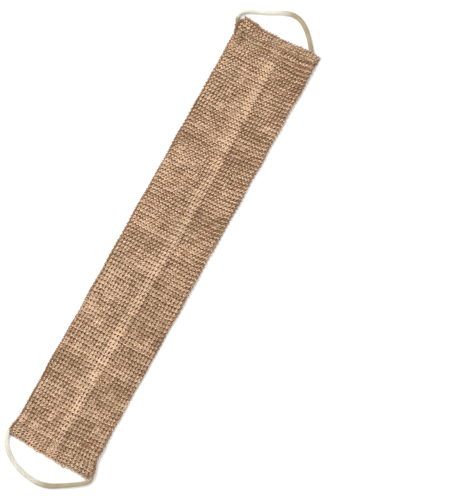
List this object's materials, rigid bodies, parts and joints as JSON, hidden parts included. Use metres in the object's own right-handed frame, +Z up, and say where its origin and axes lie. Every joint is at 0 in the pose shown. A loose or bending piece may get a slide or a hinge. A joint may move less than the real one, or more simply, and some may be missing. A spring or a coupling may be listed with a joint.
{
  "type": "knitted back scrubber strap",
  "caption": "Long flat knitted scrubbing strap of coarse plant fibre, sewn as a tube, with a braided cord loop handle at each end for scrubbing the back.",
  "frame": {"origin": "middle of the strap's underside, on the surface it lies on, the cord handles left out", "axes": "+X along the strap towards the top handle, +Y across the strap towards its left side, +Z up out of the front face"},
  "size_m": [0.6958, 0.1327, 0.0084],
  "materials": {
    "knitted_plant_fibre": "coarse open knit of hairy tan plant-fibre yarn, matt",
    "cotton_cord": "cream braided cotton cord, matt",
    "sewing_thread": "twisted tan sewing thread, matt"
  },
  "bodies": {
    "section_1": {"front_panel_1": "knitted_plant_fibre", "back_panel_1": "knitted_plant_fibre", "seam_allowance_1": "knitted_plant_fibre", "back_seam_thread_1": "sewing_thread", "bottom_end_seam_thread": "sewing_thread", "bottom_handle_left_tail": "cotton_cord", "bottom_handle_right_tail": "cotton_cord", "bottom_left_bar_tack": "sewing_thread", "bottom_right_bar_tack": "sewing_thread"},
    "section_2": {"front_panel_2": "knitted_plant_fibre", "back_panel_2": "knitted_plant_fibre", "seam_allowance_2": "knitted_plant_fibre", "back_seam_thread_2": "sewing_thread"},
    "section_3": {"front_panel_3": "knitted_plant_fibre", "back_panel_3": "knitted_plant_fibre", "seam_allowance_3": "knitted_plant_fibre", "back_seam_thread_3": "sewing_thread"},
    "section_4": {"front_panel_4": "knitted_plant_fibre", "back_panel_4": "knitted_plant_fibre", "seam_allowance_4": "knitted_plant_fibre", "back_seam_thread_4": "sewing_thread"},
    "section_5": {"front_panel_5": "knitted_plant_fibre", "back_panel_5": "knitted_plant_fibre", "seam_allowance_5": "knitted_plant_fibre", "back_seam_thread_5": "sewing_thread"},
    "section_6": {"front_panel_6": "knitted_plant_fibre", "back_panel_6": "knitted_plant_fibre", "seam_allowance_6": "knitted_plant_fibre", "back_seam_thread_6": "sewing_thread"},
    "section_7": {"front_panel_7": "knitted_plant_fibre", "back_panel_7": "knitted_plant_fibre", "seam_allowance_7": "knitted_plant_fibre", "back_seam_thread_7": "sewing_thread"},
    "section_8": {"front_panel_8": "knitted_plant_fibre", "back_panel_8": "knitted_plant_fibre", "seam_allowance_8": "knitted_plant_fibre", "back_seam_thread_8": "sewing_thread", "top_end_seam_thread": "sewing_thread", "top_handle_left_tail": "cotton_cord", "top_handle_right_tail": "cotton_cord", "top_left_bar_tack": "sewing_thread", "top_right_bar_tack": "sewing_thread"},
    "top_handle": {"top_handle_cord": "cotton_cord"},
    "bottom_handle": {"bottom_handle_cord": "cotton_cord"}
  },
  "joints": [
    {"name": "bend_1", "type": "hinge", "parent": "section_2", "child": "section_1", "pos_m": [-0.2325, 0, 0.003], "axis": [0, 1, 0], "range_deg": [-30, 30]},
    {"name": "bend_2", "type": "hinge", "parent": "section_3", "child": "section_2", "pos_m": [-0.155, 0, 0.003], "axis": [0, 1, 0], "range_deg": [-30, 30]},
    {"name": "bend_3", "type": "hinge", "parent": "section_4", "child": "section_3", "pos_m": [-0.0775, 0, 0.003], "axis": [0, 1, 0], "range_deg": [-30, 30]},
    {"name": "bend_4", "type": "hinge", "parent": "section_4", "child": "section_5", "pos_m": [0, 0, 0.003], "axis": [0, -1, 0], "range_deg": [-30, 30]},
    {"name": "bend_5", "type": "hinge", "parent": "section_5", "child": "section_6", "pos_m": [0.0775, 0, 0.003], "axis": [0, -1, 0], "range_deg": [-30, 30]},
    {"name": "bend_6", "type": "hinge", "parent": "section_6", "child": "section_7", "pos_m": [0.155, 0, 0.003], "axis": [0, -1, 0], "range_deg": [-30, 30]},
    {"name": "bend_7", "type": "hinge", "parent": "section_7", "child": "section_8", "pos_m": [0.2325, 0, 0.003], "axis": [0, -1, 0], "range_deg": [-30, 30]},
    {"name": "top_handle_swing", "type": "hinge", "parent": "section_8", "child": "top_handle", "pos_m": [0.316, 0, 0.003], "axis": [0, -1, 0], "range_deg": [-120, 120]},
    {"name": "bottom_handle_swing", "type": "hinge", "parent": "section_1", "child": "bottom_handle", "pos_m": [-0.316, 0, 0.003], "axis": [0, 1, 0], "range_deg": [-120, 120]}
  ]
}
